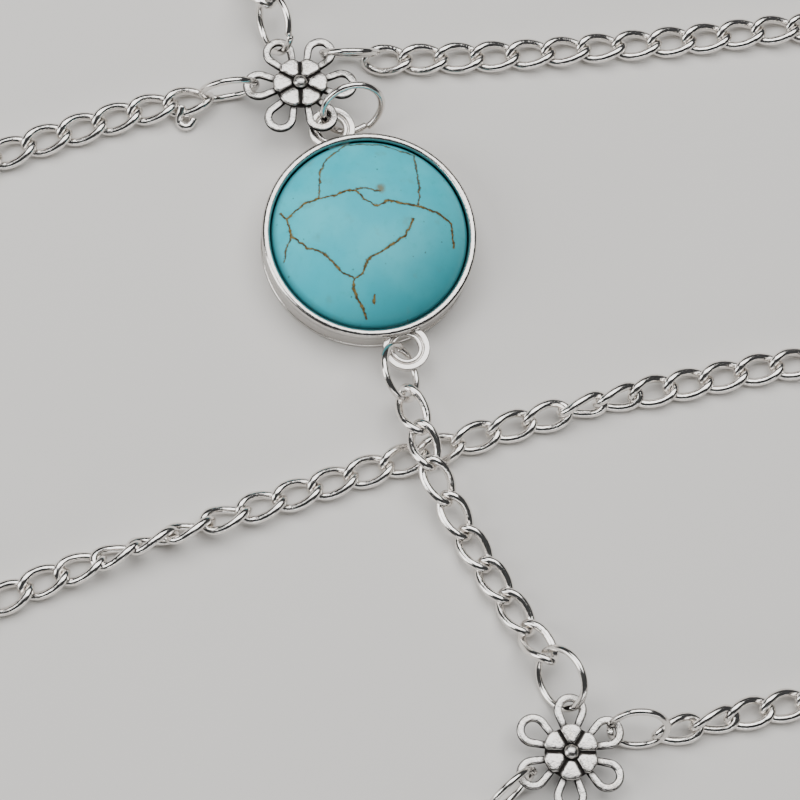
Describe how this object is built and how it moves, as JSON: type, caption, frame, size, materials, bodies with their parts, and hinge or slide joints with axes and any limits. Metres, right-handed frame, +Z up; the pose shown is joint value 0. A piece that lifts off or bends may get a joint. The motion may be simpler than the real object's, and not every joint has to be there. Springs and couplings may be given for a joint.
{
  "type": "thigh chain",
  "caption": "Silver-plated thigh chain: a turquoise-coloured cabochon in a round cup hangs between flower connectors, with curb chain strands that meet at one clasp.",
  "frame": {"origin": "centre of the cup's flat back, where it rests on the surface", "axes": "+Z up from the surface, +Y from the cup towards the upper flower (up the wearer's leg), +X along the strands to the right"},
  "size_m": [0.2065, 0.2389, 0.0073],
  "materials": {
    "cup_metal": "polished silver plate",
    "stone": "polished, dyed turquoise with brown veins",
    "flower_metal": "antiqued silver plate with blackened grooves",
    "ring_wire": "polished silver plate",
    "chain_metal": "polished silver plate",
    "clasp_metal": "polished silver plate"
  },
  "bodies": {
    "root": {"bezel_cup": "cup_metal", "cabochon": "stone", "upper_flower": "flower_metal", "lower_flower": "flower_metal", "pendant_ring": "ring_wire", "riser_ring": "ring_wire", "top_left_ring": "ring_wire", "top_right_ring": "ring_wire", "ear_ring": "ring_wire", "drop_ring": "ring_wire", "lower_right_ring": "ring_wire", "lower_left_ring": "ring_wire", "left_end_ring": "ring_wire", "right_end_ring": "ring_wire", "riser_end_ring": "ring_wire", "drop_chain": "chain_metal", "riser_chain": "chain_metal", "top_left_strand": "chain_metal", "top_right_strand": "chain_metal", "middle_left_strand": "chain_metal", "middle_right_strand": "chain_metal", "lower_left_strand": "chain_metal", "lower_right_strand": "chain_metal", "back_clasp": "clasp_metal", "riser_clasp": "clasp_metal"}
  },
  "joints": []
}
